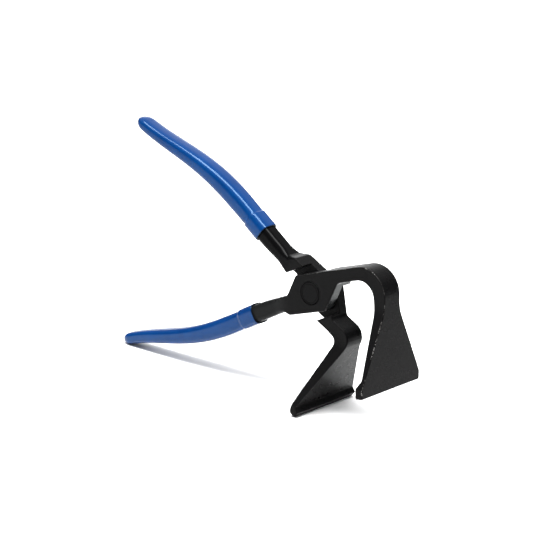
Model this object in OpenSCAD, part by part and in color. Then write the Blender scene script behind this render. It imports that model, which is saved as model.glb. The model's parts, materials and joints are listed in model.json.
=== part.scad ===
// Wide-jaw pliers with right-angled jaws and dipped grips.
// Two forged levers lap at a flush rivet, and each carries one fan-shaped jaw with a raised lip.
// Units are millimetres. +X points towards the jaws, +Y along the pivot, +Z up. The pliers stand
// on the inner jaw's lip and on the tip of the lower grip, with the origin under their middle.

/* [Joint] */
// Thickness of the lapped joint, which is both half plates together
joint_t = 16; // [14:0.5:18]
// Height of the flat band around the pivot on each lever
band_h = 24.8; // [23:0.2:26]
// Air between the two lapped faces
lap_gap = 0.1; // [0.06:0.02:0.2]
// Distance from the pivot to the slanted edges of a half plate
plate_edge = 15; // [14.5:0.1:15.4]
// Distance from the pivot to the shoulders that face the other lever's plate
shoulder_edge = 17.2; // [16.8:0.1:17.6]
// Angle of a plate's slanted edges to its band
plate_slant = 50; // [48:1:52]
// Rounding of the plate corners that pass the shoulders
plate_round = 3; // [2:0.5:4]

/* [Rivet] */
// Diameter of the rivet's shank
rivet_d = 11; // [10:0.5:12]
// Diameter of its flush heads
rivet_head_d = 14.6; // [14:0.2:15]
// Radial running clearance between the rivet and the lever that turns on it
run_fit = 0.05; // [0.02:0.01:0.08]
// Diameter of the ring pressed into each head by the riveting tool
head_ring_d = 12; // [11:0.2:12.6]

/* [Jaws] */
// Width of both jaws across their lips
jaw_w = 60; // [52:1:66]
// Height of the straight part at the end of each fan
lip_h = 7.2; // [6:0.2:8]
// Rounding of the lips' ends
lip_round = 2.6; // [2:0.2:3]
// Distance from the pivot to the outer jaw's outer face
outer_reach = 57.6; // [57:0.2:58.2]
// Depth from the pivot down to the edge of the outer lip
outer_depth = 53.8; // [53.4:0.1:54.2]
// Lean of the outer jaw from square to its band
outer_lean = 14.5; // [14:0.5:15]
// Distance from the pivot to the inner jaw's gripping face
inner_reach = 39.9; // [39.5:0.1:40.3]
// Depth from the pivot down to the edge of the inner lip
inner_depth = 61.9; // [61.5:0.1:62.2]
// Thickness of the arch and of the arm that carry the jaws
arm_t = 8.6; // [8.2:0.2:9]

/* [Handles] */
// Distance from the pivot to the far end of a grip
handle_len = 177; // [170:1:190]
// Distance from the pivot to the open end of a grip
grip_start = 52; // [48:1:56]
// How far the outer lever's handle bows away from the other one
outer_bow = 7.4; // [5:0.2:10]
// How far the inner lever's handle bows away from the other one
inner_bow = 7.6; // [5:0.2:10]
// Wall of the dipped sleeve
grip_wall = 1.1; // [0.9:0.1:1.5]
// Thickness of a grip in the plane of the jaws, at its open end
grip_h = 13.8; // [12:0.1:14.4]
// Width of a grip along the pivot, at its open end
grip_w = 15; // [13.2:0.2:15.6]
// Thickness of a grip near its tip, as a share of its thickness at the open end
grip_taper = 0.6; // [0.58:0.01:0.75]
// Width of a grip near its tip, as a share of its width at the open end
width_taper = 0.87; // [0.8:0.01:1]
// Length of the rounded tip
nose_len = 8; // [6:1:10]

/* [Pose] */
// Turn of the inner lever, from square jaws, that opens the jaws at rest
open_angle = 30.8; // [25:0.2:34]

/* [Hidden] */
steel_black = "#232325";
rivet_black = "#2b2b2d";
grip_blue = "#1f57a8";
$fn = 64;
half_t = joint_t / 2;
half_band = band_h / 2;
half_gap = lap_gap / 2;
// Turn of the inner lever, from its own frame, at which the lips meet
close_turn = 9.5;
// Slanted edges of the half plates, and the shoulders that lie parallel to them when closed
edge_normal = 90 - plate_slant;
shoulder_normal = edge_normal + close_turn - outer_lean;
// Undersides of the arch and top of the inner arm, measured from the pivot along the band's normal
arch_under = half_band - arm_t + 0.3;
arm_top = half_band - arm_t - 0.6;
inner_band_top = half_band - 1;
inner_band_low = -half_band + 0.4;
// The outer jaw's lip and the taper of its blade
outer_lip_x = outer_reach - 5.3;
outer_blade_top = outer_reach - 10.4;
outer_blade_low = outer_reach - 2.7;
outer_lip_top = -outer_depth + lip_h;
outer_fan_top = -3;
arch_round = 17.2;
throat_round = 10.5;
neck_round = 4;
blade_round = 1.5;
blade_end = outer_lip_top + 4;
// The inner jaw's lip and the taper of its blade
inner_lip_x = inner_reach + 2.6;
lip_face = 4.7;
lip_t = 4.3;
lip_ramp = 1.8;
lip_skew = 0.6;
foot_round = 1.2;
heel_round = 1.8;
inner_back_top = inner_reach - arm_t + 0.1;
inner_back_low = inner_reach - 3.2;
inner_fan_top = -half_band - 0.3;
inner_elbow_round = 8.6;
inner_crook_round = 5.2;
// Where a plate's edge meets the handle, and the stub that runs into the handle's root
outer_step = -0.8;
outer_stub_top = -1.4;
outer_stub_low = -9.6;
inner_step = 0.2;
inner_stub_top = 8.6;
inner_stub_low = 0.2;
// Roundings of a fan's side where it leaves the neck and where it reaches the lip
fan_round = 22;
side_round = 2;
// How far a fan's neck lies inside the sides of its arm
neck_inset = 0.3;
// How far cutting and joining shapes run past the surfaces they meet
over = 1;
overlap = 4;
recess_reach = 28;
edge_round = 0.6;
toe_round = 1;
// Handles: turn of each handle's chord from its band, and where the parts of a handle lie on it
outer_handle_turn = 5.3;
inner_handle_turn = 1.2;
handle_root = 17;
shank_start = 21;
flare_len = 14;
flare_x = 21;
shank_x = 26;
tip_offset = 0.3;
bow_skew = 1.1;
taper_start = 80;
cap_r = grip_h * grip_taper / 2;
cap_u = handle_len - nose_len;
// What differs between the handles: bow, offset of the centreline at the root, half height of the shank
outer_handle = [outer_bow, 3, 4.8];
inner_handle = [inner_bow, 2.7, 4.8];
ring_sides = 24;
sleeve_rings = 18;
cap_rings = 6;
// Rivet
rivet_r = rivet_d / 2;
head_r = rivet_head_d / 2;
head_t = head_r - rivet_r;
groove = 0.2;

function turn(p, a) = [p[0] * cos(a) - p[1] * sin(a), p[0] * sin(a) + p[1] * cos(a)];
function mix(a, b, t) = a + (b - a) * t;
function clamp01(t) = max(0, min(1, t));
function smooth(t) = let (c = clamp01(t)) c * c * (3 - 2 * c);
function unit(v) = v / norm(v);
function xy(c) = [c[0], c[1]];

// Centre of the circle of radius b[2] that touches both sides of the corner a, b, c
function round_centre(a, b, c) = let (
    u = unit(xy(a) - xy(b)),
    v = unit(xy(c) - xy(b)),
    half = acos(u * v) / 2)
    xy(b) + unit(u + v) * b[2] / sin(half);
// The corner b as an arc of that circle, or as a sharp point where its radius is 0
function corner(a, b, c) = let (
    u = unit(xy(a) - xy(b)),
    v = unit(xy(c) - xy(b)),
    centre = round_centre(a, b, c),
    out = -unit(u + v),
    side = u[0] * v[1] - u[1] * v[0] > 0 ? 1 : -1,
    sweep = 180 - acos(u * v),
    steps = max(2, ceil(sweep / 7)))
    b[2] == 0 ? [xy(b)] :
    [for (k = [0:steps]) centre + turn(out, side * (0.5 - k / steps) * sweep) * b[2]];
// Outline from corners [x, y, radius]
function rounded(c) = let (n = len(c))
    [for (i = [0:n - 1]) each corner(c[(i + n - 1) % n], c[i], c[(i + 1) % n])];
function sideways(c) = [for (i = [len(c) - 1:-1:0]) [-c[i][0], c[i][1], c[i][2]]];

// Distance along the band from the pivot to a slanted edge, at height z towards that edge's short end
function edge_x(z) = (plate_edge - z * sin(edge_normal)) / cos(edge_normal);
// A corner of the outer jaw, from the jaw's upright frame into the frame of its band
function jaw_corner(x, z, r) = let (q = turn([x, z], -outer_lean)) [q[0], q[1], r];
// Where an upright line x of the outer jaw's frame meets the band's line z
function jaw_cross(x, z, r) = [(x + z * sin(outer_lean)) / cos(outer_lean), z, r];

// Corners of the outer lever without its shank, in the frame of its band
outer_corners = [
    [-edge_x(half_band), half_band, plate_round],
    jaw_cross(outer_reach, half_band, arch_round),
    jaw_corner(outer_reach, -outer_depth + lip_skew, toe_round),
    jaw_corner(outer_lip_x, -outer_depth - lip_skew, edge_round),
    jaw_corner(outer_lip_x, outer_lip_top, edge_round),
    jaw_corner(outer_blade_low, blade_end, blade_round),
    jaw_cross(outer_blade_top, arch_under, throat_round),
    [edge_x(-arch_under), arch_under, neck_round],
    [edge_x(half_band), -half_band, toe_round],
    [-flare_x, -half_band, blade_round],
    [-shank_x, outer_stub_low, 0],
    [-shank_x, outer_stub_top, 0],
    [-edge_x(outer_step), outer_step, toe_round]];

// The bottom of the inner lip's gripping face, and its top, which is upright when the lips meet
lip_foot = [inner_lip_x, -inner_depth];
lip_crown = lip_foot + lip_face * [sin(close_turn), cos(close_turn)];
// Corners of the inner lever without its shank, in the frame of its band
inner_corners = [
    [-flare_x, inner_band_top, blade_round],
    [edge_x(inner_band_top), inner_band_top, toe_round],
    [edge_x(-arm_top), -arm_top, plate_round],
    [inner_reach, -arm_top, inner_elbow_round],
    [inner_reach, lip_crown[1] + lip_ramp, edge_round],
    [lip_crown[0], lip_crown[1], edge_round],
    [lip_foot[0], lip_foot[1], foot_round],
    [lip_foot[0] - lip_t, -inner_depth - lip_skew, heel_round],
    [inner_back_low, lip_crown[1] - 1, blade_round],
    [inner_back_top, inner_band_low, inner_crook_round],
    [-edge_x(-inner_band_low), inner_band_low, plate_round],
    [-edge_x(-inner_step), inner_step, toe_round],
    [-shank_x, inner_stub_low, 0],
    [-shank_x, inner_stub_top, 0]];

// Fan outline across a jaw, from its upright neck down to the straight end: y and z
function fan(neck, top, depth) = let (side = [
    [half_t - neck_inset, neck, 0],
    [half_t - neck_inset, top, fan_round],
    [jaw_w / 2, -depth + lip_h, side_round],
    [jaw_w / 2, -depth, lip_round]])
    rounded(concat(side, sideways(side)));

// Centreline of a handle: its offset from the chord, outward, at distance u along the chord
function offset_at(u, handle) = let (s = (u - handle_root) / (handle_len - handle_root))
    mix(handle[1], tip_offset, s) + handle[0] * pow(sin(180 * pow(max(0, s), bow_skew)), 2);
function slope_at(u, handle) = atan(offset_at(u + 0.5, handle) - offset_at(u - 0.5, handle));
// Size of the grip at u, as a share of its size at the open end, when it tapers to the share tip
function share_at(u, tip) = mix(1, tip, clamp01((u - taper_start) / (cap_u - taper_start)));
// Half sizes of the handle's section at u, less the sleeve's wall where it is inside the sleeve
function half_w(u, wall) = u > grip_start - 0.01 ? share_at(u, width_taper) * grip_w / 2 - wall
    : mix(half_t - 0.1, grip_w / 2 - grip_wall, smooth((u - shank_start) / flare_len));
function half_h(u, wall, handle) = u > grip_start - 0.01 ? share_at(u, grip_taper) * grip_h / 2 - wall
    : mix(handle[2], grip_h / 2 - grip_wall, smooth((u - shank_start) / (grip_start - shank_start)));
// How square the section is: 2 is an ellipse
function squareness(u) = mix(6, 4, smooth((u - shank_start) / (grip_start - shank_start)));

// One closed ring of the handle's surface, square to the centreline, as points u, y, w
function ring(u, w, tilt, a, b, n) = [for (i = [0:ring_sides - 1]) let (
    t = 360 * (i + 0.5) / ring_sides,
    y = a * sign(cos(t)) * pow(abs(cos(t)), 2 / n),
    h = b * sign(sin(t)) * pow(abs(sin(t)), 2 / n))
    [u - h * sin(tilt), y, w + h * cos(tilt)]];
function body_ring(u, wall, handle) = ring(u, offset_at(u, handle), slope_at(u, handle),
    half_w(u, wall), half_h(u, wall, handle), squareness(u));
// Rings of the elliptical tip, about its centre at cap_u
function cap_ring(k, wall, handle) = let (
    a = 90 * k / cap_rings,
    out = (nose_len - wall) * sin(a),
    tilt = slope_at(cap_u, handle))
    ring(cap_u + out * cos(tilt), offset_at(cap_u, handle) + out * sin(tilt), tilt,
        half_w(cap_u, wall) * cos(a), half_h(cap_u, wall, handle) * cos(a), squareness(cap_u));
sleeve_us = [for (k = [0:sleeve_rings]) mix(grip_start, cap_u, k / sleeve_rings)];
shank_us = [for (k = [0:9]) mix(handle_root, grip_start, k / 10)];
function sleeve_skin(wall, handle) = concat(
    [for (u = sleeve_us) body_ring(u, wall, handle)],
    [for (k = [1:cap_rings - 1]) cap_ring(k, wall, handle)],
    [cap_ring(cap_rings - 0.35, wall, handle)]);

// Solid through a list of rings, closed at both ends
module lofted(rings) {
    n = ring_sides;
    last = (len(rings) - 1) * n;
    polyhedron(
        points = [for (r = rings) each r],
        faces = concat(
            [[for (i = [0:n - 1]) i]],
            [[for (i = [n - 1:-1:0]) last + i]],
            [for (k = [0:len(rings) - 2]) for (i = [0:n - 1]) let (j = (i + 1) % n)
                each [[k * n + i, (k + 1) * n + i, (k + 1) * n + j],
                    [k * n + i, (k + 1) * n + j, k * n + j]]]),
        convexity = 4);
}
// Sleeve between two lists of rings that start at the same open end
module sleeved(outer, inner) {
    n = ring_sides;
    m = len(outer) * n;
    last = (len(outer) - 1) * n;
    polyhedron(
        points = concat([for (r = outer) each r], [for (r = inner) each r]),
        faces = concat(
            [[for (i = [n - 1:-1:0]) last + i]],
            [[for (i = [0:n - 1]) m + last + i]],
            [for (i = [0:n - 1]) let (j = (i + 1) % n)
                each [[i, j, m + j], [i, m + j, m + i]]],
            [for (k = [0:len(outer) - 2]) for (i = [0:n - 1]) let (j = (i + 1) % n)
                each [[k * n + i, (k + 1) * n + i, (k + 1) * n + j],
                    [k * n + i, (k + 1) * n + j, k * n + j],
                    [m + k * n + i, m + (k + 1) * n + j, m + (k + 1) * n + i],
                    [m + k * n + i, m + k * n + j, m + (k + 1) * n + j]]]),
        convexity = 6);
}

// Extrudes an outline drawn in x and z along the pivot, from y0 to y1
module slab(y0, y1) {
    rotate([90, 0, 0]) translate([0, 0, -y1]) linear_extrude(y1 - y0) children();
}
// Extrudes an outline drawn in y and z across the reach of a jaw, from x0 to x1
module across(x0, x1) {
    translate([x0, 0, 0]) rotate([90, 0, 90]) linear_extrude(x1 - x0) children();
}
// Turns about the pivot, anticlockwise with +X to the right and +Z up
module turned(a) {
    rotate([0, -a, 0]) children();
}
// Revolves an outline drawn as radius and y about the pivot
module about_pivot() {
    rotate([-90, 0, 0]) rotate_extrude() children();
}

// Pose: the pliers stand on a line under the inner lip and the lower grip's round tip
tip_centre = turn([cap_u, offset_at(cap_u, outer_handle)], 180 + outer_handle_turn + outer_lean);
foot_centre = turn(round_centre(inner_corners[5], inner_corners[6], inner_corners[7]), -open_angle);
span = foot_centre - tip_centre;
chord_turn = -atan2(span[1], span[0]);
nose_tilt = slope_at(cap_u, outer_handle) + outer_handle_turn + outer_lean + chord_turn;
nose_reach = norm([cap_r * cos(nose_tilt), nose_len * sin(nose_tilt)]);
stand_turn = chord_turn - asin((nose_reach - foot_round) / norm(span));
toe_centre = round_centre(outer_corners[1], outer_corners[2], outer_corners[3]);
max_x = turn(toe_centre, outer_lean + stand_turn)[0] + toe_round;
min_x = turn(tip_centre, stand_turn)[0] - norm([nose_len * cos(nose_tilt), cap_r * sin(nose_tilt)]);
pivot_x = -(min_x + max_x) / 2;
pivot_z = foot_round - turn(foot_centre, stand_turn)[1];

module outer_frame() {
    translate([pivot_x, 0, pivot_z]) turned(stand_turn + outer_lean) children();
}
module inner_frame() {
    translate([pivot_x, 0, pivot_z]) turned(stand_turn - open_angle) children();
}
module outer_handle_frame() {
    turned(180 + outer_handle_turn) children();
}
module inner_handle_frame() {
    mirror([0, 0, 1]) turned(180 + inner_handle_turn) children();
}
// Space that the other lever's plate turns in, on the side of the lap from y0 to y1
module lap_recess(normal, y0, y1) {
    turned(normal) translate([-shoulder_edge, y0, -recess_reach])
        cube([2 * shoulder_edge, y1 - y0, 2 * recess_reach]);
}
// Steel inside a handle, from the plate to the tip, in the handle's frame
module handle_core(handle) {
    lofted(concat([for (u = shank_us) body_ring(u, grip_wall, handle)], sleeve_skin(grip_wall, handle)));
}
module grip_sleeve(handle) {
    sleeved(sleeve_skin(0, handle), sleeve_skin(grip_wall, handle));
}
// Bore for the rivet and countersink for one head, facing the side -1 or 1
module rivet_hole(fit, side) {
    r = rivet_r + fit;
    rim = head_r + sqrt(2) * fit;
    about_pivot() polygon([
        [0, -half_t - over], [r, -half_t - over], [r, half_t + over], [0, half_t + over]]);
    about_pivot() polygon([[0, side * (half_t + over)], [rim, side * (half_t + over)],
        [rim, side * half_t], [r, side * (half_t - (rim - r))], [0, side * (half_t - (rim - r))]]);
}

module outer_jaw_lever() {
    color(steel_black) outer_frame() difference() {
        union() {
            slab(-half_t, half_t) polygon(rounded(outer_corners));
            outer_handle_frame() handle_core(outer_handle);
            intersection() {
                slab(-jaw_w / 2 - over, jaw_w / 2 + over) polygon(rounded(outer_corners));
                turned(-outer_lean) across(outer_blade_top - overlap, outer_reach + overlap)
                    polygon(fan(overlap, outer_fan_top, outer_depth + lip_skew));
            }
        }
        lap_recess(shoulder_normal, -half_gap, half_t + over);
        rivet_hole(0, -1);
    }
}

module inner_jaw_lever() {
    color(steel_black) inner_frame() difference() {
        union() {
            slab(-half_t, half_t) polygon(rounded(inner_corners));
            inner_handle_frame() handle_core(inner_handle);
            intersection() {
                slab(-jaw_w / 2 - over, jaw_w / 2 + over) polygon(rounded(inner_corners));
                across(inner_back_top - overlap, inner_lip_x + overlap)
                    polygon(fan(-arm_top - inner_elbow_round, inner_fan_top, inner_depth + lip_skew));
            }
        }
        lap_recess(-shoulder_normal, -half_t - over, half_gap);
        rivet_hole(run_fit, 1);
    }
}

module pivot_rivet() {
    ring_r = head_ring_d / 2;
    color(rivet_black) outer_frame() difference() {
        about_pivot() polygon([
            [0, -half_t], [head_r, -half_t], [rivet_r, head_t - half_t],
            [rivet_r, half_t - head_t], [head_r, half_t], [0, half_t]]);
        for (side = [-1, 1]) about_pivot() polygon([
            [ring_r - groove, side * (half_t + over)], [ring_r + groove, side * (half_t + over)],
            [ring_r + groove, side * (half_t - groove)], [ring_r - groove, side * (half_t - groove)]]);
    }
}

module outer_lever_grip() {
    color(grip_blue) outer_frame() outer_handle_frame() grip_sleeve(outer_handle);
}

module inner_lever_grip() {
    color(grip_blue) inner_frame() inner_handle_frame() grip_sleeve(inner_handle);
}

outer_jaw_lever();
inner_jaw_lever();
pivot_rivet();
outer_lever_grip();
inner_lever_grip();
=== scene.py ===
"""Looks for the wide-jaw pliers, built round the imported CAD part.

The two forged levers are meshed from distance fields, so every edge has a forging's rounding. The
grips are lofted sleeves and the rivet is turned. Lengths are millimetres in a lever's own frame,
which has the pivot at its origin, X along the lever's band towards its jaw, Y along the pivot and
Z up from the band. placed() takes such points into the row frame, in metres.
"""
import json
import math

import bpy
import numpy as np
from mathutils import Matrix, Vector


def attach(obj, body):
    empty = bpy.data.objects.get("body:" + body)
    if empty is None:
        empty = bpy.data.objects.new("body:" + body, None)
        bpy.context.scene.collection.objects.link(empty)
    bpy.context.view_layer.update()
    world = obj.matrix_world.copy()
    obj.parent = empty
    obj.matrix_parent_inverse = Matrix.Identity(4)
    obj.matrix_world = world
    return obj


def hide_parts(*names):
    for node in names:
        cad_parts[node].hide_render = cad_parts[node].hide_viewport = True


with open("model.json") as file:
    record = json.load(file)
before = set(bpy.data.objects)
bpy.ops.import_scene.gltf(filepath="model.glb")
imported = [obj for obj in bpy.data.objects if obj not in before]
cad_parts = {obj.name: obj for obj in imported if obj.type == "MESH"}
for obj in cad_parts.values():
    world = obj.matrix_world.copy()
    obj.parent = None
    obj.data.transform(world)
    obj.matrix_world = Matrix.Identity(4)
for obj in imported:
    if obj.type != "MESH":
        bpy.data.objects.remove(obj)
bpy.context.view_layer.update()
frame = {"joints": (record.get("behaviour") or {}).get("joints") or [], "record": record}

MM = 0.001

# ---------------------------------------------------------------- sizes, in millimetres and degrees
# Joint
HALF_T = 8.0           # half the thickness of the lapped joint
HALF_BAND = 12.4       # half the height of the band round the pivot
HALF_GAP = 0.05        # half the air between the lapped faces
PLATE_EDGE = 15.0      # from the pivot to the slanted edges of a half plate
SHOULDER_EDGE = 17.2   # from the pivot to the shoulders that face the other lever's plate
RECESS_REACH = 28.0    # how far along the shoulders the lap is cut, each way
EDGE_NORMAL = 40.0     # direction that a plate's slanted edges face
OUTER_LEAN = 14.5      # lean of the outer jaw from square to its band
CLOSE_TURN = 9.5       # turn of the inner lever, from its own frame, at which the lips meet
SHOULDER_NORMAL = EDGE_NORMAL + CLOSE_TURN - OUTER_LEAN
OPEN_ANGLE = 30.8      # turn of the inner lever, from square jaws, that opens the jaws at rest

# Jaws and the arms that carry them
JAW_W = 60.0
LIP_H = 7.2            # height of the straight part at the end of each fan
LIP_SKEW = 0.6         # how far a lip's lower edge slants from its depth
ARM_T = 8.6
ARCH_UNDER = HALF_BAND - ARM_T + 0.3
ARM_TOP = HALF_BAND - ARM_T - 0.6
OUTER_REACH = 57.6     # from the pivot to the outer jaw's outer face
OUTER_DEPTH = 53.8     # from the pivot down to the edge of the outer lip
OUTER_LIP_X = OUTER_REACH - 5.3
OUTER_LIP_TOP = LIP_H - OUTER_DEPTH
OUTER_BLADE_LOW = OUTER_REACH - 2.7
OUTER_BLADE_TOP = OUTER_REACH - 10.4
BLADE_END = OUTER_LIP_TOP + 4
INNER_REACH = 39.9     # from the pivot to the inner jaw's gripping face
INNER_DEPTH = 61.9     # from the pivot down to the edge of the inner lip
INNER_LIP_X = INNER_REACH + 2.6
INNER_BACK_LOW = INNER_REACH - 3.2
INNER_BACK_TOP = INNER_REACH - 8.5
INNER_BAND_TOP = HALF_BAND - 1
INNER_BAND_LOW = 0.4 - HALF_BAND
LIP_FACE = 4.7         # height of the inner lip's gripping face
LIP_T = 4.3            # thickness of the inner lip at its foot
LIP_RAMP = 1.8         # rise from the inner lip's crown to the jaw's face
OUTER_FAN_X, INNER_FAN_X = 30.0, 24.0        # how far from the pivot the jaws' fans take over
OUTER_FAN_TOP, INNER_FAN_TOP = -3, -HALF_BAND - 0.3
NECK_TOP = 90          # beyond the top of both arms

# Where a plate's edge meets the handle, and the stub that runs into the handle's root
FLARE_X = 21.0
SHANK_X = 26.0
OUTER_STEP, OUTER_STUB_LOW, OUTER_STUB_TOP = -0.8, -9.6, -1.4
INNER_STEP, INNER_STUB_LOW, INNER_STUB_TOP = 0.2, 0.2, 8.6

# Roundings of the outlines' corners, and of the edges between an outline and the sides
PLATE_ROUND = 3
TOE_ROUND = 1
STUB_ROUND = 2
ARCH_ROUND = 17.2
THROAT_ROUND = 10.5
NECK_ROUND = 4
BLADE_ROUND = 2.5
LIP_EDGE_ROUND = 0.8
LIP_ROOT_ROUND = 1.2
ELBOW_ROUND = 8.6
CROOK_ROUND = 5.2
BACK_ROUND = 1.5
CROWN_ROUND = 0.7
FOOT_ROUND = 1.2
HEEL_ROUND = 1.8
FAN_ROUND = 22
SIDE_ROUND = 2
LIP_END_ROUND = 2.6
LAP_ROUND = 0.3
EDGE_ROUND = 0.8
SHANK_ROUNDING = 3.3   # added to EDGE_ROUND along the shank
ROUNDING_START = 19
ROUNDING_LEN = 16
ARC_STEP = 6.0         # most degrees between two points of a rounded corner

# Handles, measured along a chord from the pivot to the tip
HANDLE_LEN = 177.0
HANDLE_ROOT = 17.0     # where the bar begins, inside the plate
SHANK_START = 21.0
SHANK_HALF_H = 4.8
FLARE_LEN = 14.0       # length over which the shank's width changes to the core's
FLARE_LEAD = 3.0       # how far before the shank that change begins
ROOT_FILLET = 1.8
TIP_OFFSET = 0.3       # offset of the centreline from the chord at the tip
BOW_SKEW = 1.1         # leans the bow towards the tip
CORE_FIT = 0.05        # air between the steel core and its sleeve

# Grips
GRIP_START = 52.0
GRIP_WALL = 1.1
GRIP_H = 13.8
GRIP_W = 15.0
THICK_TAPER = 0.6      # size near the tip as a share of the size at the mouth
WIDTH_TAPER = 0.87
TAPER_START = 80.0
NOSE_LEN = 8.0
CAP_U = HANDLE_LEN - NOSE_LEN
COLLAR_LEN = 12.5      # band at the mouth, where the dip is thicker
COLLAR_END = GRIP_START + COLLAR_LEN
COLLAR_STEP = 0.5
COLLAR_EDGE = 0.18     # spacing of the rings that round the collar's edge
COLLAR_FADE = 40       # length over which the sleeve regains the nominal size
SKIN = 0.06            # how far the drawn skin keeps inside the nominal one
MOUTH_ROLL = 0.28      # length of the mouth's rolled end
SECTION_POWER = 3.0    # squareness of a section: 2 is an ellipse
TIP_POWER = 2.2

# Rivet and its seats
RIVET_R = 5.5
HEAD_R = 7.3
HEAD_PROUD = 0.02
HEAD_DEPTH = 2.2
HEAD_CENTRE_R = 3.0
HEAD_RING_R = 6.0
RING_HALF_W = 0.34
RING_DEPTH = 0.15
RING_SLANT = 0.2
RIM_W = 0.4
RIM_DEPTH = 0.3
RIM_SLANT = 0.2
ROLL_W, ROLL_DEPTH = 0.1, 0.04     # the rolled edge beside the ring and the rim
WAIST_Y = -1.0
RUN_FIT = 0.05         # radial clearance in the lever that turns on the rivet
SEAT_FIT = 0.2         # radial clearance round a head
SEAT_CHAMFER = 0.3
SEAT_OVER = 3          # how far the cutter runs past the joint's face
CHAMFER_DEPTH, STRAIGHT_DEPTH, SEAT_DEPTH = 0.15, 0.5, 2.4
NUDGE = 0.01           # keeps a test or a cut clear of the surface it is meant for

# Sampling
GRID = 0.5             # cell of the levers' distance fields
FAN_CELL = 0.25        # cell of the table that holds a fan's distances
FAN_PAD = 3
FAN_LOW, FAN_HIGH = -70, 30
SLOPE_STEP = 0.05
LATHE_SIDES = 160
GRIP_SIDES = 128
CAP_STEPS = 12
MOUTH_STEPS = 4
EDGE_STEPS = 4
INNER_ROWS, COLLAR_ROWS, SLEEVE_ROWS = 40, 14, 110

# Wear, painted light and shade, and how a face's direction decides them
EDGE_REACH = 1.3       # how far from an edge its wear reaches
BAND_WEAR = 0.78       # how worn the band and arch are, beside the jaws
FACING_LOW, FACING_SPAN = 0.8, 0.15          # cosines over which a face comes to face a direction
HAND_RUB, HAND_START, HAND_SPAN = 0.15, 22, 8
FACE_SHEEN, FACE_X, FACE_Z = 0.35, 34, -8      # share of painted sheen, and where the gripping face lies
SHADE_SLANT, SHADE_START, SHADE_SPAN = 0.62, 10, 7   # the gripping face's near lower corner, kept in painted shade
LIP_CLEAR = 5
GLOSS_LEAD, GLOSS_SPAN = 1, 5
FACETED = 0.7          # how far past a head's rim the seat's flat facets reach
# how deep the painted shade in the rivet's ring and round its rim is
RING_SHADE, RIM_SHADE = 0.5, 0.6

# ---------------------------------------------------------------- colours, as linear RGB pairs
FORGED_BLACK = (0.0016, 0.0016, 0.0018), (0.0036, 0.0035, 0.0035)
GROUND_BLACK = (0.0025, 0.0025, 0.0025), (0.0047, 0.0047, 0.0048)
GLOSSY_BLACK = (0.0007, 0.0007, 0.0008), (0.0014, 0.0014, 0.0015)
# lighter black: painted light on the throat's edge and the gripping face, and wear on the outer shank
RUB_AND_PAINTED_LIGHT_BLACK = (0.029, 0.032, 0.032), (0.041, 0.044, 0.044)
BARE_STEEL = (0.30, 0.29, 0.28), (0.48, 0.47, 0.45)
HEAD_BLACK = (0.0025, 0.0025, 0.0026), (0.0047, 0.0047, 0.0048)
# painted shade in the rivet head's ring and round its rim
GROOVE_SHADE_BLACK = (0.0004, 0.0004, 0.0004), (0.0008, 0.0008, 0.0008)
VINYL_BLUE = (0.0001, 0.0170, 0.082), (0.0003, 0.0250, 0.109)
# painted shade at the grips' mouths
MOUTH_SHADE_BLUE = (0.0010, 0.0016, 0.0050), (0.0022, 0.0040, 0.0120)
FLOOR_WHITE = (0.86, 0.86, 0.86), (0.89, 0.89, 0.89)
VINYL_SHEEN = (0.42, 0.70, 1.0, 1.0)
WORLD_WHITE = (0.9, 0.92, 0.95, 1)

# ---------------------------------------------------------------- placing in the row frame
joint = frame["joints"][0]
pivot = Vector(joint["pos_m"])
jaw_face = next(m for m in frame["record"]["mounts"] if m["name"] == "outer_jaw_face")
STAND = math.degrees(math.atan2(jaw_face["axis"][2], jaw_face["axis"][0]))
OUTER_TURN = STAND + OUTER_LEAN
INNER_TURN = STAND - OPEN_ANGLE


def turn(p, degrees):
    """A pair (x, z) turned about the pivot, from X towards Z."""
    c, s = math.cos(math.radians(degrees)), math.sin(math.radians(degrees))
    return (p[0] * c - p[1] * s, p[0] * s + p[1] * c)


def rotated(points, degrees):
    """Rows of x, y, z turned about the pivot's axis."""
    x, z = turn((points[:, 0], points[:, 2]), degrees)
    return np.stack([x, points[:, 1], z], 1)


def placed(points, degrees):
    """Points of a lever's frame, in the row frame in metres."""
    return rotated(points, degrees) * MM + np.array(pivot)


def unplaced(points, degrees):
    """Points of the row frame, in a lever's frame."""
    return rotated((points - np.array(pivot)) / MM, -degrees)


# ---------------------------------------------------------------- outlines
def edge_x(z):
    """Distance from the pivot to a plate's slanted edge at height z."""
    n = math.radians(EDGE_NORMAL)
    return (PLATE_EDGE - z * math.sin(n)) / math.cos(n)


def jaw_corner(x, z, r):
    """A corner of the outer jaw's upright frame, in the frame of its band."""
    return (*turn((x, z), -OUTER_LEAN), r)


def jaw_cross(x, z, r):
    """Where an upright line x of the outer jaw meets the band's line z."""
    n = math.radians(OUTER_LEAN)
    return ((x + z * math.sin(n)) / math.cos(n), z, r)


def rounded(corners):
    """Outline through corners (x, z, radius), each an arc of its radius, or sharp where that is 0."""
    points = []
    for i, (x, z, r) in enumerate(corners):
        b = np.array([x, z])
        u = np.array(corners[i - 1][:2]) - b
        v = np.array(corners[(i + 1) % len(corners)][:2]) - b
        if r == 0:
            points.append(b)
            continue
        u, v = u / np.linalg.norm(u), v / np.linalg.norm(v)
        half = math.acos(np.clip(u @ v, -1, 1)) / 2
        out = -(u + v) / np.linalg.norm(u + v)
        centre = b - out * r / math.sin(half)
        side = 1 if u[0] * v[1] - u[1] * v[0] > 0 else -1
        sweep = 180 - 2 * math.degrees(half)
        steps = max(2, math.ceil(sweep / ARC_STEP))
        for k in range(steps + 1):
            points.append(centre + np.array(turn(out, side * (0.5 - k / steps) * sweep)) * r)
    return np.array(points)


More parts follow.
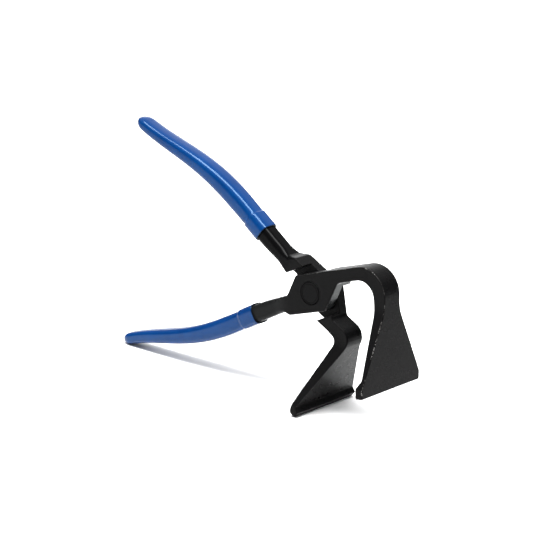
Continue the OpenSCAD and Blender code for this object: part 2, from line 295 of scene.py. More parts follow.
outer_outline = rounded([
    (-edge_x(HALF_BAND), HALF_BAND, PLATE_ROUND),
    jaw_cross(OUTER_REACH, HALF_BAND, ARCH_ROUND),
    jaw_corner(OUTER_REACH, LIP_SKEW - OUTER_DEPTH, TOE_ROUND),
    jaw_corner(OUTER_LIP_X, -LIP_SKEW - OUTER_DEPTH, LIP_EDGE_ROUND),
    jaw_corner(OUTER_LIP_X, OUTER_LIP_TOP, LIP_ROOT_ROUND),
    jaw_corner(OUTER_BLADE_LOW, BLADE_END, BLADE_ROUND),
    jaw_cross(OUTER_BLADE_TOP, ARCH_UNDER, THROAT_ROUND),
    (edge_x(-ARCH_UNDER), ARCH_UNDER, NECK_ROUND),
    (edge_x(HALF_BAND), -HALF_BAND, TOE_ROUND),
    (-FLARE_X, -HALF_BAND, STUB_ROUND),
    (-SHANK_X, OUTER_STUB_LOW, 0),
    (-SHANK_X, OUTER_STUB_TOP, 0),
    (-edge_x(OUTER_STEP), OUTER_STEP, TOE_ROUND)])

# The inner lip's gripping face leans, so that it is parallel to the outer lip when they meet
lip_lean = math.radians(CLOSE_TURN)
foot_x, foot_z = INNER_LIP_X, -INNER_DEPTH
crown_x, crown_z = foot_x + LIP_FACE * math.sin(lip_lean), foot_z + LIP_FACE * math.cos(lip_lean)
inner_outline = rounded([
    (-FLARE_X, INNER_BAND_TOP, STUB_ROUND),
    (edge_x(INNER_BAND_TOP), INNER_BAND_TOP, TOE_ROUND),
    (edge_x(-ARM_TOP), -ARM_TOP, PLATE_ROUND),
    (INNER_REACH, -ARM_TOP, ELBOW_ROUND),
    (INNER_REACH, crown_z + LIP_RAMP, LIP_EDGE_ROUND),
    (crown_x, crown_z, CROWN_ROUND),
    (foot_x, foot_z, FOOT_ROUND),
    (foot_x - LIP_T, foot_z - LIP_SKEW, HEEL_ROUND),
    (INNER_BACK_LOW, crown_z - 1, BACK_ROUND),
    (INNER_BACK_TOP, INNER_BAND_LOW, CROOK_ROUND),
    (-edge_x(-INNER_BAND_LOW), INNER_BAND_LOW, PLATE_ROUND),
    (-edge_x(-INNER_STEP), INNER_STEP, TOE_ROUND),
    (-SHANK_X, INNER_STUB_LOW, 0),
    (-SHANK_X, INNER_STUB_TOP, 0)])


def fan_outline(top, depth):
    """Half width of an arm, then the fan of its jaw, as y and z."""
    side = [(HALF_T, NECK_TOP, 0), (HALF_T, top, FAN_ROUND),
            (JAW_W / 2, LIP_H - depth, SIDE_ROUND), (JAW_W / 2, -depth, LIP_END_ROUND)]
    return rounded(side + [(-y, z, r) for y, z, r in reversed(side)])


# ---------------------------------------------------------------- distance fields
def outline_distance(x, z, outline):
    """Signed distance to a closed outline, negative inside."""
    best = np.full(x.shape, 1e9)
    inside = np.zeros(x.shape, bool)
    for i in range(len(outline)):
        (ax, az), (bx, bz) = outline[i - 1], outline[i]
        ex, ez = bx - ax, bz - az
        t = np.clip(((x - ax) * ex + (z - az) * ez) / (ex * ex + ez * ez + 1e-12), 0, 1)
        best = np.minimum(best, (x - ax - ex * t) ** 2 + (z - az - ez * t) ** 2)
        if ez != 0:
            inside ^= ((az > z) != (bz > z)) & (x < ex * (z - az) / ez + ax)
    return np.where(inside, -1, 1) * np.sqrt(best)


def rounded_max(a, b, r):
    """Intersection of two fields whose meeting edge is rounded to r."""
    a, b = a + r, b + r
    return np.minimum(np.maximum(a, b), 0) + np.hypot(np.maximum(a, 0), np.maximum(b, 0)) - r


def smooth_min(a, b, k):
    """Union of two fields with a fillet of about k."""
    h = np.clip(0.5 + 0.5 * (b - a) / k, 0, 1)
    return b + (a - b) * h - k * h * (1 - h)


def ease(t):
    """0 up to t = 0, 1 from t = 1, and an even curve between."""
    t = np.clip(t, 0, 1)
    return t * t * (3 - 2 * t)


def grip_half(u, size, taper):
    """Half of a grip's size at u, when it tapers to the share taper at the tip."""
    along = np.clip((u - TAPER_START) / (CAP_U - TAPER_START), 0, 1)
    return size / 2 * (1 + (taper - 1) * along)


def core_half_w(u):
    """Half width of the steel at u, from the plate's on the shank to the sleeve's inside."""
    inside = grip_half(u, GRIP_W, WIDTH_TAPER) - GRIP_WALL - CORE_FIT
    flare = ease((u - SHANK_START + FLARE_LEAD) / (FLARE_LEN + FLARE_LEAD))
    return HALF_T + (inside - HALF_T) * flare


class Handle:
    """A handle's chord turned from its band, and its centreline bowed outward from the chord."""

    def __init__(self, chord_turn, bow, root, mirror):
        self.turn, self.bow, self.root, self.mirror = 180 + chord_turn, bow, root, mirror

    def offset(self, u):
        """Offset of the centreline from the chord at u, outward."""
        s = (u - HANDLE_ROOT) / (HANDLE_LEN - HANDLE_ROOT)
        wave = np.sin(math.pi * np.maximum(s, 0) ** BOW_SKEW) ** 2
        return self.root + (TIP_OFFSET - self.root) * s + self.bow * wave

    def slope(self, u):
        """Angle of the centreline to the chord at u, from a millimetre of it."""
        return np.arctan(self.offset(u + 0.5) - self.offset(u - 0.5))

    def core_half_h(self, u):
        """Half height of the steel at u, from the shank's to the sleeve's inside."""
        inside = grip_half(u, GRIP_H, THICK_TAPER) - GRIP_WALL - CORE_FIT
        along = ease((u - SHANK_START) / (GRIP_START - SHANK_START))
        return SHANK_HALF_H + (inside - SHANK_HALF_H) * along

    def from_lever(self, x, z):
        """Distance along the chord and outward from it."""
        z = -z if self.mirror else z
        return turn((x, z), -self.turn)

    def to_lever(self, u, w):
        """The inverse of from_lever."""
        x, z = turn((u, w), self.turn)
        return x, -z if self.mirror else z


class Lever:
    """One forged lever: its outline, its jaw's fan and its handle, as fields in its own frame."""

    def __init__(self, outline, fan, lean, fan_from, handle, recess_normal, recess_side):
        self.outline, self.lean, self.fan_from = outline, math.radians(lean), fan_from
        self.handle = handle
        self.normal, self.side = math.radians(recess_normal), recess_side
        edge = JAW_W / 2 + FAN_PAD
        gy = np.arange(-edge, edge + FAN_CELL / 2, FAN_CELL)
        gz = np.arange(FAN_LOW, FAN_HIGH, FAN_CELL)
        self.fan_y, self.fan_z = gy[0], gz[0]
        self.fan_grid = outline_distance(*np.meshgrid(gy, gz, indexing="ij"), fan)

    def flat(self, x, z):
        """Fields that don't vary along the pivot: outline, half width and edge radius."""
        u, w = self.handle.from_lever(x, z)
        half_h = self.handle.core_half_h(u)
        bar = np.abs(w - self.handle.offset(u)) * np.cos(self.handle.slope(u)) - half_h
        past = np.maximum(u - CAP_U, 0) / (NOSE_LEN - GRIP_WALL)
        nose = half_h * (1 - np.sqrt(np.clip(1 - past * past, 0, 1)))
        bar = np.maximum(bar + nose, HANDLE_ROOT - u)
        bar = np.where(past >= 1, np.maximum(bar, (past - 1) * NOSE_LEN), bar)
        body = smooth_min(outline_distance(x, z, self.outline), bar, ROOT_FILLET)
        half_w = np.where(u > SHANK_START - FLARE_LEAD, core_half_w(u), HALF_T)
        shank = ease((u - ROUNDING_START) / ROUNDING_LEN)
        return body, half_w, EDGE_ROUND + SHANK_ROUNDING * shank

    def width(self, x, y, z, half_w):
        """Distance past the sides: the arm's half width, or the fan's outline beyond fan_from."""
        up = x * math.sin(self.lean) + z * math.cos(self.lean)
        i = np.clip((y - self.fan_y) / FAN_CELL, 0, self.fan_grid.shape[0] - 1.001)
        k = np.clip((up - self.fan_z) / FAN_CELL, 0, self.fan_grid.shape[1] - 1.001)
        i0, k0 = i.astype(int), k.astype(int)
        di, dk = i - i0, k - k0
        g = self.fan_grid
        fan = ((g[i0, k0] * (1 - di) + g[i0 + 1, k0] * di) * (1 - dk)
               + (g[i0, k0 + 1] * (1 - di) + g[i0 + 1, k0 + 1] * di) * dk)
        return np.where(x > self.fan_from, fan, np.abs(y) - half_w)

    def recess(self, x, y, z):
        """The other lever's space, negative inside."""
        along = np.abs(x * math.cos(self.normal) + z * math.sin(self.normal)) - SHOULDER_EDGE
        across = np.abs(z * math.cos(self.normal) - x * math.sin(self.normal)) - RECESS_REACH
        return np.maximum(np.maximum(-HALF_GAP - y * self.side, along), across)

    def field(self, x, y, z, flat):
        """The whole forging, negative inside."""
        body, half_w, edge = flat
        solid = rounded_max(body, self.width(x, y, z, half_w), edge)
        return rounded_max(solid, -self.recess(x, y, z), LAP_ROUND)

    def edge_share(self, p):
        """How near each surface point is to an edge, from 0 to 1."""
        body, half_w, _ = self.flat(p[:, 0], p[:, 2])
        width = self.width(p[:, 0], p[:, 1], p[:, 2], half_w)
        return np.clip(1 - np.maximum(-body, -width) / EDGE_REACH, 0, 1)

    def slope(self, p):
        """Outward direction of the surface at each point."""
        def value(offset):
            q = p + offset
            return self.field(q[:, 0], q[:, 1], q[:, 2], self.flat(q[:, 0], q[:, 2]))
        step = SLOPE_STEP * np.eye(3)
        out = np.stack([value(e) - value(-e) for e in step], 1)
        return out / np.maximum(np.linalg.norm(out, axis=1, keepdims=True), 1e-9)


def surface_nets(field, origin, cell):
    """Quads of the surface where a sampled field changes sign, one vertex in each crossed cell."""
    solid = field < 0
    nx, ny, nz = field.shape
    count = np.zeros((nx - 1, ny - 1, nz - 1), np.int8)
    corners = [(a, b, c) for a in (0, 1) for b in (0, 1) for c in (0, 1)]
    for a, b, c in corners:
        count += solid[a:nx - 1 + a, b:ny - 1 + b, c:nz - 1 + c]
    crossed = (count > 0) & (count < 8)
    at = np.argwhere(crossed)
    ids = np.full(crossed.shape, -1, np.int64)
    ids[crossed] = np.arange(len(at))
    value = {k: field[at[:, 0] + k[0], at[:, 1] + k[1], at[:, 2] + k[2]] for k in corners}

    # Each vertex is the mean of the points where its cell's edges cross the surface
    total, hits = np.zeros((len(at), 3)), np.zeros(len(at))
    for low in corners:
        for axis in range(3):
            if low[axis]:
                continue
            high = tuple(1 if n == axis else low[n] for n in range(3))
            a, b = value[low], value[high]
            cut = (a < 0) != (b < 0)
            p = np.tile(np.array(low, float), (len(at), 1))
            p[:, axis] += np.where(cut, a / np.where(cut, a - b, 1), 0)
            total += np.where(cut[:, None], p, 0)
            hits += cut
    points = (at + total / hits[:, None]) * cell + origin

    # Each crossed grid edge gets a quad between the four cells round it
    quads = []
    for axis in range(3):
        low, high = [slice(1, -1)] * 3, [slice(1, -1)] * 3
        low[axis], high[axis] = slice(0, -1), slice(1, None)
        first, second = solid[tuple(low)], solid[tuple(high)]
        edge = np.argwhere(first != second)
        inside = first[edge[:, 0], edge[:, 1], edge[:, 2]]
        base = edge + np.array([0 if n == axis else 1 for n in range(3)])
        u, v = (axis + 1) % 3, (axis + 2) % 3
        ring = []
        for du, dv in ((1, 1), (0, 1), (0, 0), (1, 0)):
            q = base.copy()
            q[:, u] -= du
            q[:, v] -= dv
            ring.append(ids[q[:, 0], q[:, 1], q[:, 2]])
        ring = np.stack(ring, 1)
        quads.append(np.where(inside[:, None], ring, ring[:, ::-1]))
    return points, np.vstack(quads)


# ---------------------------------------------------------------- meshes
def new_mesh(name, points, faces, material, smooth=True):
    mesh = bpy.data.meshes.new(name)
    mesh.from_pydata(points.tolist(), [], [list(f) for f in faces])
    mesh.materials.append(material)
    mesh.polygons.foreach_set("use_smooth", [smooth] * len(mesh.polygons))
    mesh.update()
    piece = bpy.data.objects.new(name, mesh)
    bpy.context.scene.collection.objects.link(piece)
    return piece


def point_value(piece, name, values):
    """Stores one number for each vertex, which the materials read by name."""
    attribute = piece.data.attributes.new(name, "FLOAT", "POINT")
    attribute.data.foreach_set("value", np.ascontiguousarray(values, np.float32))


def ringed_faces(count, sides):
    """Faces of a closed skin of rings, whose two end points come after the rings' points."""
    faces = []
    for i in range(count - 1):
        for k in range(sides):
            j = (k + 1) % sides
            faces.append((i * sides + k, (i + 1) * sides + k, (i + 1) * sides + j, i * sides + j))
    last = (count - 1) * sides
    for k in range(sides):
        j = (k + 1) % sides
        faces.append((count * sides, k, j))
        faces.append((count * sides + 1, last + j, last + k))
    return faces


def lathe(profile):
    """Closed turned solid from (radius, y) points that begin and end on the axis."""
    inner = profile[1:-1]
    rings = []
    for r, y in inner:
        for k in range(LATHE_SIDES):
            a = 2 * math.pi * k / LATHE_SIDES
            rings.append((r * math.cos(a), y, r * math.sin(a)))
    points = np.array(rings + [(0, profile[0][1], 0), (0, profile[-1][1], 0)])
    return points, ringed_faces(len(inner), LATHE_SIDES)


# ---------------------------------------------------------------- materials
class Nodes:
    """Short calls for building a material's nodes. A value is a number, a colour or a socket."""

    def __init__(self, name):
        self.material = bpy.data.materials.new(name)
        self.material.use_nodes = True
        self.tree = self.material.node_tree
        self.shader = self.tree.nodes["Principled BSDF"]
        self.place = self.tree.nodes.new("ShaderNodeTexCoord").outputs["Object"]

    def feed(self, socket, value):
        if isinstance(value, bpy.types.NodeSocket):
            self.tree.links.new(value, socket)
        else:
            socket.default_value = value

    def add(self, kind, inputs=(), **settings):
        node = self.tree.nodes.new(kind)
        for key, value in settings.items():
            setattr(node, key, value)
        for key, value in dict(inputs).items():
            self.feed(node.inputs[key], value)
        return node

    def noise(self, scale, detail, rough=0.5):
        """Noise with about this many lumps in a metre."""
        return self.add("ShaderNodeTexNoise", {
            "Vector": self.place, "Scale": scale, "Detail": detail, "Roughness": rough,
        }).outputs["Fac"]

    def ramp(self, value, low, high, to_low=0.0, to_high=1.0):
        return self.add("ShaderNodeMapRange", {
            "Value": value, "From Min": low, "From Max": high,
            "To Min": to_low, "To Max": to_high}).outputs[0]

    def math(self, operation, a, b=0.0):
        return self.add("ShaderNodeMath", {0: a, 1: b}, operation=operation).outputs[0]

    def mix(self, value, low, high):
        """From one colour to another, each an RGB triple or a socket."""
        low, high = [c if isinstance(c, bpy.types.NodeSocket) else (*c, 1) for c in (low, high)]
        node = self.add("ShaderNodeMix", {"Factor": value, "A": low, "B": high}, data_type="RGBA")
        return node.outputs["Result"]

    def value_of(self, name):
        return self.add("ShaderNodeAttribute", attribute_name=name).outputs["Fac"]

    def bump(self, height, distance, strength, under=None):
        """Bump of this height in metres, on top of another one if it is given."""
        inputs = {"Height": height, "Distance": distance, "Strength": strength}
        if under is not None:
            inputs["Normal"] = under
        return self.add("ShaderNodeBump", inputs).outputs[0]

    def shade(self, **inputs):
        for key, value in inputs.items():
            self.feed(self.shader.inputs[key.replace("_", " ")], value)
        return self.material


def black_steel():
    """Satin black coat on forged steel: matter on ground side faces, bare in specks on edges."""
    n = Nodes("black_steel")
    normal = n.add("ShaderNodeNewGeometry").outputs["Normal"]
    sideways = n.add("ShaderNodeSeparateXYZ", {"Vector": normal}).outputs["Y"]
    side_face = n.ramp(n.math("ABSOLUTE", sideways), 0.80, 0.92)
    flat_face = n.ramp(n.math("ABSOLUTE", sideways), 0.955, 0.985)
    cloud = n.noise(28, detail=4, rough=0.6)
    grain = n.noise(1400, detail=2, rough=0.6)
    coat = n.mix(flat_face, n.mix(cloud, *FORGED_BLACK), n.mix(grain, *GROUND_BLACK))

    # Specks of bare metal, in patches along the edges
    speck = n.math("MULTIPLY", n.ramp(n.noise(900, detail=3, rough=0.7), 0.52, 0.58),
                   n.ramp(n.value_of("edge"), 0.5, 0.7))
    bare = n.math("MULTIPLY", speck, n.ramp(n.noise(60, detail=2), 0.43, 0.51))

    # Faces lightened: painted light on the throat's edge and the gripping face, and the outer shank
    # worn where hands rub; then the smoother coat on the upper shank
    rub_and_painted_light = n.value_of("rub_and_painted_light")
    coat = n.mix(n.math("MULTIPLY", rub_and_painted_light, 0.8), coat, n.mix(cloud, *RUB_AND_PAINTED_LIGHT_BLACK))
    gloss = n.value_of("gloss")
    coat = n.mix(gloss, coat, n.mix(cloud, *GLOSSY_BLACK))

    colour = n.mix(bare, coat, n.mix(grain, *BARE_STEEL))
    metal = n.math("MAXIMUM", bare, n.math("MULTIPLY", rub_and_painted_light, 0.5))
    rough = n.ramp(n.noise(240, detail=3), 0.2, 0.8, 0.24, 0.34)
    rough = n.math("ADD", rough, n.math("MULTIPLY", side_face, 0.2))
    rough = n.math("SUBTRACT", rough, n.math("MULTIPLY", gloss, 0.14))
    peel = n.bump(n.noise(420, detail=2), distance=0.00006, strength=0.5)
    fine = n.bump(grain, distance=0.00002, strength=0.5, under=peel)
    return n.shade(Base_Color=colour, Metallic=metal, Roughness=rough, Normal=fine,
                   IOR=1.5, Specular_IOR_Level=0.035)


def rivet_steel():
    """The same coat on the rivet's turned heads, with painted shade in the ring and round the rim."""
    n = Nodes("rivet_steel")
    cloud = n.noise(60, detail=3)
    colour = n.mix(n.value_of("groove_shade"), n.mix(cloud, *HEAD_BLACK), n.mix(cloud, *GROOVE_SHADE_BLACK))
    rough = n.ramp(n.noise(500, detail=2), 0.2, 0.8, 0.42, 0.54)
    fine = n.bump(n.noise(900, detail=2), distance=0.00002, strength=0.5)
    return n.shade(Base_Color=colour, Roughness=rough, Normal=fine,
                   IOR=1.5, Specular_IOR_Level=0.03)


def blue_vinyl():
    """Dipped blue vinyl: glossy, slowly rippled, faintly mottled, with painted shade at the trimmed
    mouth.
    """
    n = Nodes("blue_vinyl")
    cloud = n.noise(30, detail=3)
    mottle = n.noise(200, detail=2)
    tone = n.math("ADD", n.math("MULTIPLY", cloud, 0.75), n.math("MULTIPLY", mottle, 0.25))
    deep = n.mix(n.ramp(tone, 0.3, 0.7), *VINYL_BLUE)
    # Painted shade on the sleeve's end and bore, where the mouth would be shaded
    colour = n.mix(n.value_of("mouth"), deep, n.mix(mottle, *MOUTH_SHADE_BLUE))
    rough = n.ramp(mottle, 0.3, 0.7, 0.13, 0.16)
    ripple = n.bump(n.noise(14, detail=1), distance=0.0002, strength=0.2)
    return n.shade(Base_Color=colour, Roughness=rough, Normal=ripple,
                   IOR=1.5, Specular_IOR_Level=0.25, Specular_Tint=VINYL_SHEEN)


def pale_floor():
    n = Nodes("pale_floor")
    return n.shade(Base_Color=n.mix(n.noise(3, detail=3), *FLOOR_WHITE),
                   Roughness=0.85, Specular_IOR_Level=0.2)


steel_material = black_steel()
rivet_material = rivet_steel()
vinyl_material = blue_vinyl()


# ---------------------------------------------------------------- rivet and its seats
def mirrored_profile(half):
    """A profile for the side y < 0, and its mirror image on the other side."""
    return half + [(r, -y) for r, y in reversed(half)]


def rivet_profile():
    """Head dressed flush, with the riveting tool's ring pressed in and a broken rim."""
    face = -HALF_T - HEAD_PROUD
    roll, floor = face + ROLL_DEPTH, face + RING_DEPTH
    inner_lip, outer_lip = HEAD_RING_R - RING_HALF_W, HEAD_RING_R + RING_HALF_W
    rim = HEAD_R - RIM_W
    return mirrored_profile([
        (0, face), (HEAD_CENTRE_R, face), (inner_lip - ROLL_W, face), (inner_lip, roll),
        (inner_lip + RING_SLANT, floor), (outer_lip - RING_SLANT, floor), (outer_lip, roll),
        (outer_lip + ROLL_W, face), (rim - ROLL_W, face), (rim, roll),
        (HEAD_R - RIM_SLANT, face + RIM_DEPTH), (RIVET_R, HEAD_DEPTH - HALF_T),
        (RIVET_R, WAIST_Y)])


def seat_profile(clearance):
    """Bore and countersinks that the rivet sits in."""
    rim = HEAD_R + SEAT_FIT
    bore = RIVET_R + clearance
    start = -HALF_T - SEAT_OVER
    return mirrored_profile([
        (0, start), (rim + SEAT_CHAMFER, start), (rim + SEAT_CHAMFER, -HALF_T - NUDGE),
        (rim, CHAMFER_DEPTH - HALF_T), (rim, STRAIGHT_DEPTH - HALF_T),
        (bore, SEAT_DEPTH - HALF_T), (bore, WAIST_Y)])


def cut_seat(piece, degrees, clearance):
    points, faces = lathe(seat_profile(clearance))
    cutter = new_mesh("seat_cutter", placed(points, degrees), faces, steel_material)
    cut = piece.modifiers.new("seat", "BOOLEAN")
    cut.object, cut.operation, cut.solver = cutter, "DIFFERENCE", "EXACT"
    graph = bpy.context.evaluated_depsgraph_get()
    result = bpy.data.meshes.new_from_object(piece.evaluated_get(graph))
    piece.modifiers.clear()
    piece.data = result
    bpy.data.objects.remove(cutter)


def build_rivet():
    points, faces = lathe(rivet_profile())
    rivet = new_mesh("riveted_pin", placed(points, OUTER_TURN), faces, rivet_material, smooth=False)
    from_axis = np.hypot(points[:, 0], points[:, 2])
    in_ring = np.abs(from_axis - HEAD_RING_R) < RING_HALF_W + NUDGE
    past_rim = from_axis > HEAD_R - RIM_W - NUDGE
    # Painted shade in the pressed ring and round the rim, where these grooves would be shaded
    point_value(rivet, "groove_shade", np.maximum(RING_SHADE * in_ring, RIM_SHADE * past_rim))
    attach(rivet, "outer_lever")
    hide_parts("pivot_rivet")


# ---------------------------------------------------------------- levers
def shade_normals(piece, local, slope):
    """Corner normals from the field's slope, and flat facets inside the rivet's seat."""
    mesh = piece.data
    corner_vertex = np.zeros(len(mesh.loops), np.int32)
    mesh.loops.foreach_get("vertex_index", corner_vertex)
    sizes = np.zeros(len(mesh.polygons), np.int32)
    mesh.polygons.foreach_get("loop_total", sizes)
    facet = np.zeros(len(mesh.polygons) * 3, np.float32)
    mesh.polygons.foreach_get("normal", facet)
    facet = np.repeat(facet.reshape(-1, 3), sizes, axis=0)
    near_seat = np.hypot(local[:, 0], local[:, 2])[corner_vertex] < HEAD_R + FACETED
    normals = np.where(near_seat[:, None], facet, slope[corner_vertex])
    mesh.normals_split_custom_set(normals.tolist())


def facing(cosine):
    """1 where a surface faces a direction, 0 where it is turned well away from it."""
    return ease((cosine - FACING_LOW) / FACING_SPAN)


def outer_rub_and_painted_light(p, slope):
    """The slanted edge over the throat, painted lighter for the light it catches from below, and the
    shank, which hands rub.
    """
    n = math.radians(EDGE_NORMAL)
    towards_throat = slope[:, 0] * math.cos(n) - slope[:, 2] * math.sin(n)
    by_hands = HAND_RUB * ease((-p[:, 0] - HAND_START) / HAND_SPAN)
    return facing(towards_throat) * (p[:, 0] < OUTER_FAN_X) + by_hands


def inner_painted_light(p, slope):
    """The gripping face, a little brighter with a painted reflection, fading to painted shade towards
    its near lower corner.
    """
    above_lip = p[:, 2] + INNER_DEPTH - LIP_CLEAR
    # Painted shade: the painted sheen fades out towards the near lower corner
    out_of_shade = ease((above_lip + SHADE_SLANT * p[:, 1] - SHADE_START) / SHADE_SPAN)
    on_face = (p[:, 0] > FACE_X) * (p[:, 2] < FACE_Z)
    return FACE_SHEEN * facing(slope[:, 0]) * on_face * out_of_shade


def build_lever(name, node, body, lever, degrees, low, high, clearance, rub_and_painted_light, wear, gloss):
    """Meshes a lever's field inside the box from low to high, cuts its seat and marks its wear and
    painted light.
    """
    axes = [np.arange(a, b, GRID) for a, b in zip(low, high, strict=True)]
    x2, z2 = np.meshgrid(axes[0], axes[2], indexing="ij")
    flat = tuple(f[:, None, :] for f in lever.flat(x2, z2))
    shape = tuple(len(a) for a in axes)
    x = np.broadcast_to(x2[:, None, :], shape)
    y = np.broadcast_to(axes[1][None, :, None], shape)
    z = np.broadcast_to(z2[:, None, :], shape)
    points, quads = surface_nets(lever.field(x, y, z, flat), np.array(low), GRID)
    piece = new_mesh(name, placed(points, degrees), quads, steel_material)
    cut_seat(piece, degrees, clearance)

    local = unplaced(np.array([v.co for v in piece.data.vertices]), degrees)
    slope = lever.slope(local)
    share = np.where(local[:, 2] < -HALF_BAND, wear, wear * BAND_WEAR)
    point_value(piece, "edge", lever.edge_share(local) * share)
    # Painted light on the throat's edge and the gripping face, and hand wear on the outer shank
    point_value(piece, "rub_and_painted_light", rub_and_painted_light(local, slope))
    along_handle, _ = lever.handle.from_lever(local[:, 0], local[:, 2])
    on_shank = ease((along_handle - SHANK_START + GLOSS_LEAD) / GLOSS_SPAN)
    point_value(piece, "gloss", gloss * on_shank)
    piece.data.polygons.foreach_set("use_smooth", [True] * len(piece.data.polygons))
    shade_normals(piece, local, rotated(slope, degrees))
    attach(piece, body)
    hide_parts(node)


outer_handle = Handle(chord_turn=5.3, bow=7.4, root=3.0, mirror=False)
inner_handle = Handle(chord_turn=1.2, bow=7.6, root=2.7, mirror=True)
outer_lever = Lever(outer_outline, fan_outline(OUTER_FAN_TOP, OUTER_DEPTH + LIP_SKEW), OUTER_LEAN,
                    OUTER_FAN_X, outer_handle, SHOULDER_NORMAL, recess_side=1)
inner_lever = Lever(inner_outline, fan_outline(INNER_FAN_TOP, INNER_DEPTH + LIP_SKEW), 0,
                    INNER_FAN_X, inner_handle, -SHOULDER_NORMAL, recess_side=-1)
build_lever("outer_jaw_forging", "outer_jaw_lever", "outer_lever", outer_lever, OUTER_TURN,
            low=(-182.1, -32.1, -75.1), high=(66, 32.5, 20),
            clearance=0.0, rub_and_painted_light=outer_rub_and_painted_light, wear=1.0, gloss=0.0)
build_lever("inner_jaw_forging", "inner_jaw_lever", "inner_lever", inner_lever, INNER_TURN,
            low=(-182.1, -32.1, -66.1), high=(48, 32.5, 24),
            clearance=RUN_FIT, rub_and_painted_light=inner_painted_light, wear=0.62, gloss=1.0)
build_rivet()


# ---------------------------------------------------------------- grips
def section(half_w, half_h, power):
    """Ring of a rounded-square section as (y, h), evenly spaced by angle."""
    a = (np.arange(GRIP_SIDES) + 0.5) * 2 * math.pi / GRIP_SIDES
    c, s = np.cos(a), np.sin(a)
    r = (np.abs(c / half_w) ** power + np.abs(s / half_h) ** power) ** (-1 / power)
    return r * c, r * s


def grip_rows():
    """Stations from inside the tip, round the mouth and back along the outside.

    Each is its distance along the chord, its inset from the nominal skin and its share of painted
    shade at the mouth.
    """
    rows = [(u, GRIP_WALL, 0.0) for u in np.linspace(CAP_U, GRIP_START + 5, INNER_ROWS)]

    # The bore opens a little towards the mouth, whose end is rolled from inside to outside
    rows += [(GRIP_START + 3, GRIP_WALL - 0.05, 1.0), (GRIP_START + 1.2, GRIP_WALL - 0.35, 1.0),
             (GRIP_START + MOUTH_ROLL, GRIP_WALL - 0.45, 1.0)]
    middle, half = GRIP_WALL / 2 - 0.12, GRIP_WALL / 2 - 0.24
    for k in range(MOUTH_STEPS + 1):
        a = math.pi * k / MOUTH_STEPS
        rows.append((GRIP_START + MOUTH_ROLL * (1 - math.sin(a)), middle + half * math.cos(a),
                     1.0 if k < MOUTH_STEPS else 0.6))
    rows.append((GRIP_START + 0.9, SKIN + 0.02, 0.0))

    # The collar, its rounded edge, then the sleeve
    rows += [(u, SKIN, 0.0) for u in np.linspace(GRIP_START + 1.6, COLLAR_END, COLLAR_ROWS)]
    for k in range(1, EDGE_STEPS + 1):
        rows.append((COLLAR_END + COLLAR_EDGE * k, SKIN + COLLAR_STEP * ease(k / EDGE_STEPS), 0.0))
    for u in np.linspace(COLLAR_END + 2, CAP_U, SLEEVE_ROWS):
        fade = 1 - ease((u - COLLAR_END) / COLLAR_FADE)
        rows.append((u, SKIN + COLLAR_STEP * fade, 0.0))
    return rows


def build_grip(name, node, body, degrees, handle):
    rings, mouth = [], []
    end_w, end_tilt = float(handle.offset(CAP_U)), float(handle.slope(CAP_U))

    def ring(u, w, tilt, half_w, half_h, power, share):
        y, h = section(half_w, half_h, power)
        rings.append(np.stack([u - h * math.sin(tilt), y, w + h * math.cos(tilt)], 1))
        mouth.extend([share] * GRIP_SIDES)

    def cap(inset, order):
        """Rings of the rounded tip, on a skin this far inside the nominal one."""
        for k in order:
            a = math.pi / 2 * k / CAP_STEPS
            out = (NOSE_LEN - inset) * math.sin(a)
            ring(CAP_U + out * math.cos(end_tilt), end_w + out * math.sin(end_tilt), end_tilt,
                 (grip_half(CAP_U, GRIP_W, WIDTH_TAPER) - inset) * math.cos(a),
                 (grip_half(CAP_U, GRIP_H, THICK_TAPER) - inset) * math.cos(a),
                 SECTION_POWER + (TIP_POWER - SECTION_POWER) * math.sin(a), 0.0)

    cap(GRIP_WALL, range(CAP_STEPS - 1, 0, -1))
    for u, inset, share in grip_rows():
        ring(u, float(handle.offset(u)), float(handle.slope(u)),
             grip_half(u, GRIP_W, WIDTH_TAPER) - inset, grip_half(u, GRIP_H, THICK_TAPER) - inset,
             SECTION_POWER, share)
    cap(SKIN, range(1, CAP_STEPS))
    faces = ringed_faces(len(rings), GRIP_SIDES)
    if not handle.mirror:
        faces = [tuple(reversed(f)) for f in faces]
    tips = [(CAP_U + (NOSE_LEN - inset) * math.cos(end_tilt), 0,
             end_w + (NOSE_LEN - inset) * math.sin(end_tilt)) for inset in (GRIP_WALL, SKIN)]
    points = np.vstack(rings + [np.array(tips)])
    x, z = handle.to_lever(points[:, 0], points[:, 2])
    points = placed(np.stack([x, points[:, 1], z], 1), degrees)
    piece = new_mesh(name, points, faces, vinyl_material)
    # Each vertex's share of the mouth's painted shade
    point_value(piece, "mouth", np.array(mouth + [0.0, 0.0]))
    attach(piece, body)
    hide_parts(node)


build_grip("outer_dipped_grip", "outer_lever_grip", "outer_lever", OUTER_TURN, outer_handle)
build_grip("inner_dipped_grip", "inner_lever_grip", "inner_lever", INNER_TURN, inner_handle)


# ---------------------------------------------------------------- studio, in metres
FLOOR_HALF = 6.0
FLOOR_LINES = 13
FLOOR_Z = -0.0002      # just clear of what stands on it


def build_floor():
    steps = np.linspace(-FLOOR_HALF, FLOOR_HALF, FLOOR_LINES)
    gx, gy = np.meshgrid(steps, steps, indexing="ij")
    points = np.stack([gx.ravel(), gy.ravel(), np.full(gx.size, FLOOR_Z)], 1)
    n = FLOOR_LINES
    faces = [(i * n + j, (i + 1) * n + j, (i + 1) * n + j + 1, i * n + j + 1)
             for i in range(n - 1) for j in range(n - 1)]
    new_mesh("floor", points, faces, pale_floor())


def soft_sun(name, towards, angle, strength):
    """Even light over the whole floor, from a large soft disc in the given direction."""
    lamp = bpy.data.lights.new(name, "SUN")
    lamp.angle, lamp.energy = math.radians(angle), strength
    piece = bpy.data.objects.new(name, lamp)
    piece.rotation_euler = Vector(towards).to_track_quat("Z", "Y").to_euler()
    bpy.context.scene.collection.objects.link(piece)


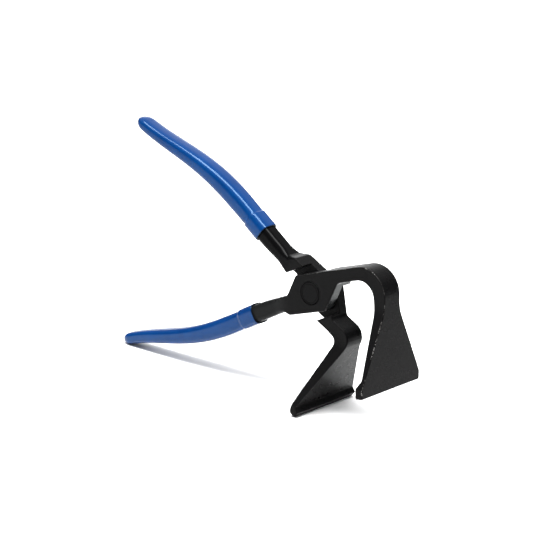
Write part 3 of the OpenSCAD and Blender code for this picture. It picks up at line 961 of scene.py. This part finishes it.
def soft_light(name, place, aim, size, power):
    """Rectangular soft light that looks from place to aim."""
    lamp = bpy.data.lights.new(name, "AREA")
    lamp.shape, lamp.size, lamp.size_y, lamp.energy = "RECTANGLE", size[0], size[1], power
    piece = bpy.data.objects.new(name, lamp)
    piece.location = place
    piece.rotation_euler = (Vector(aim) - Vector(place)).to_track_quat("-Z", "Y").to_euler()
    bpy.context.scene.collection.objects.link(piece)


def build_world(strength):
    studio = bpy.data.worlds.new("studio")
    studio.use_nodes = True
    background = studio.node_tree.nodes["Background"]
    background.inputs["Color"].default_value = WORLD_WHITE
    background.inputs["Strength"].default_value = strength
    bpy.context.scene.world = studio
    bpy.context.scene.view_settings.view_transform = "Standard"


def build_camera():
    """Long lens, from the right of the front and a little above, turned a little about its axis."""
    azimuth, elevation, roll = math.radians(38.82), math.radians(16.09), math.radians(-3.33)
    target = pivot + Vector((-28.03, -17.80, 12.85)) * MM
    distance = 1251.6 * MM
    ahead = Vector((-math.sin(azimuth) * math.cos(elevation),
                    math.cos(azimuth) * math.cos(elevation), -math.sin(elevation)))
    level = ahead.cross(Vector((0, 0, 1))).normalized()
    upright = level.cross(ahead)
    right = level * math.cos(roll) - upright * math.sin(roll)
    up = level * math.sin(roll) + upright * math.cos(roll)
    data = bpy.data.cameras.new("camera")
    data.lens, data.sensor_width = 135.08, 36
    camera = bpy.data.objects.new("camera", data)
    turned = Matrix((right, up, -ahead)).transposed().to_4x4()
    camera.matrix_world = Matrix.Translation(target - ahead * distance) @ turned
    bpy.context.scene.collection.objects.link(camera)
    bpy.context.scene.camera = camera


build_floor()
soft_sun("ceiling", towards=(0.0, 0.0, 1.0), angle=120, strength=2.1)
soft_light("strip", place=(0.1, -0.3, 1.35), aim=(0.0, 0.0, 0.1), size=(1.3, 0.5), power=58)
soft_light("back_panel", place=(-1.6, 2.0, 0.85), aim=(0.05, 0.0, 0.1), size=(2.2, 1.3), power=17)
build_world(strength=0.25)
build_camera()

bpy.context.view_layer.update()
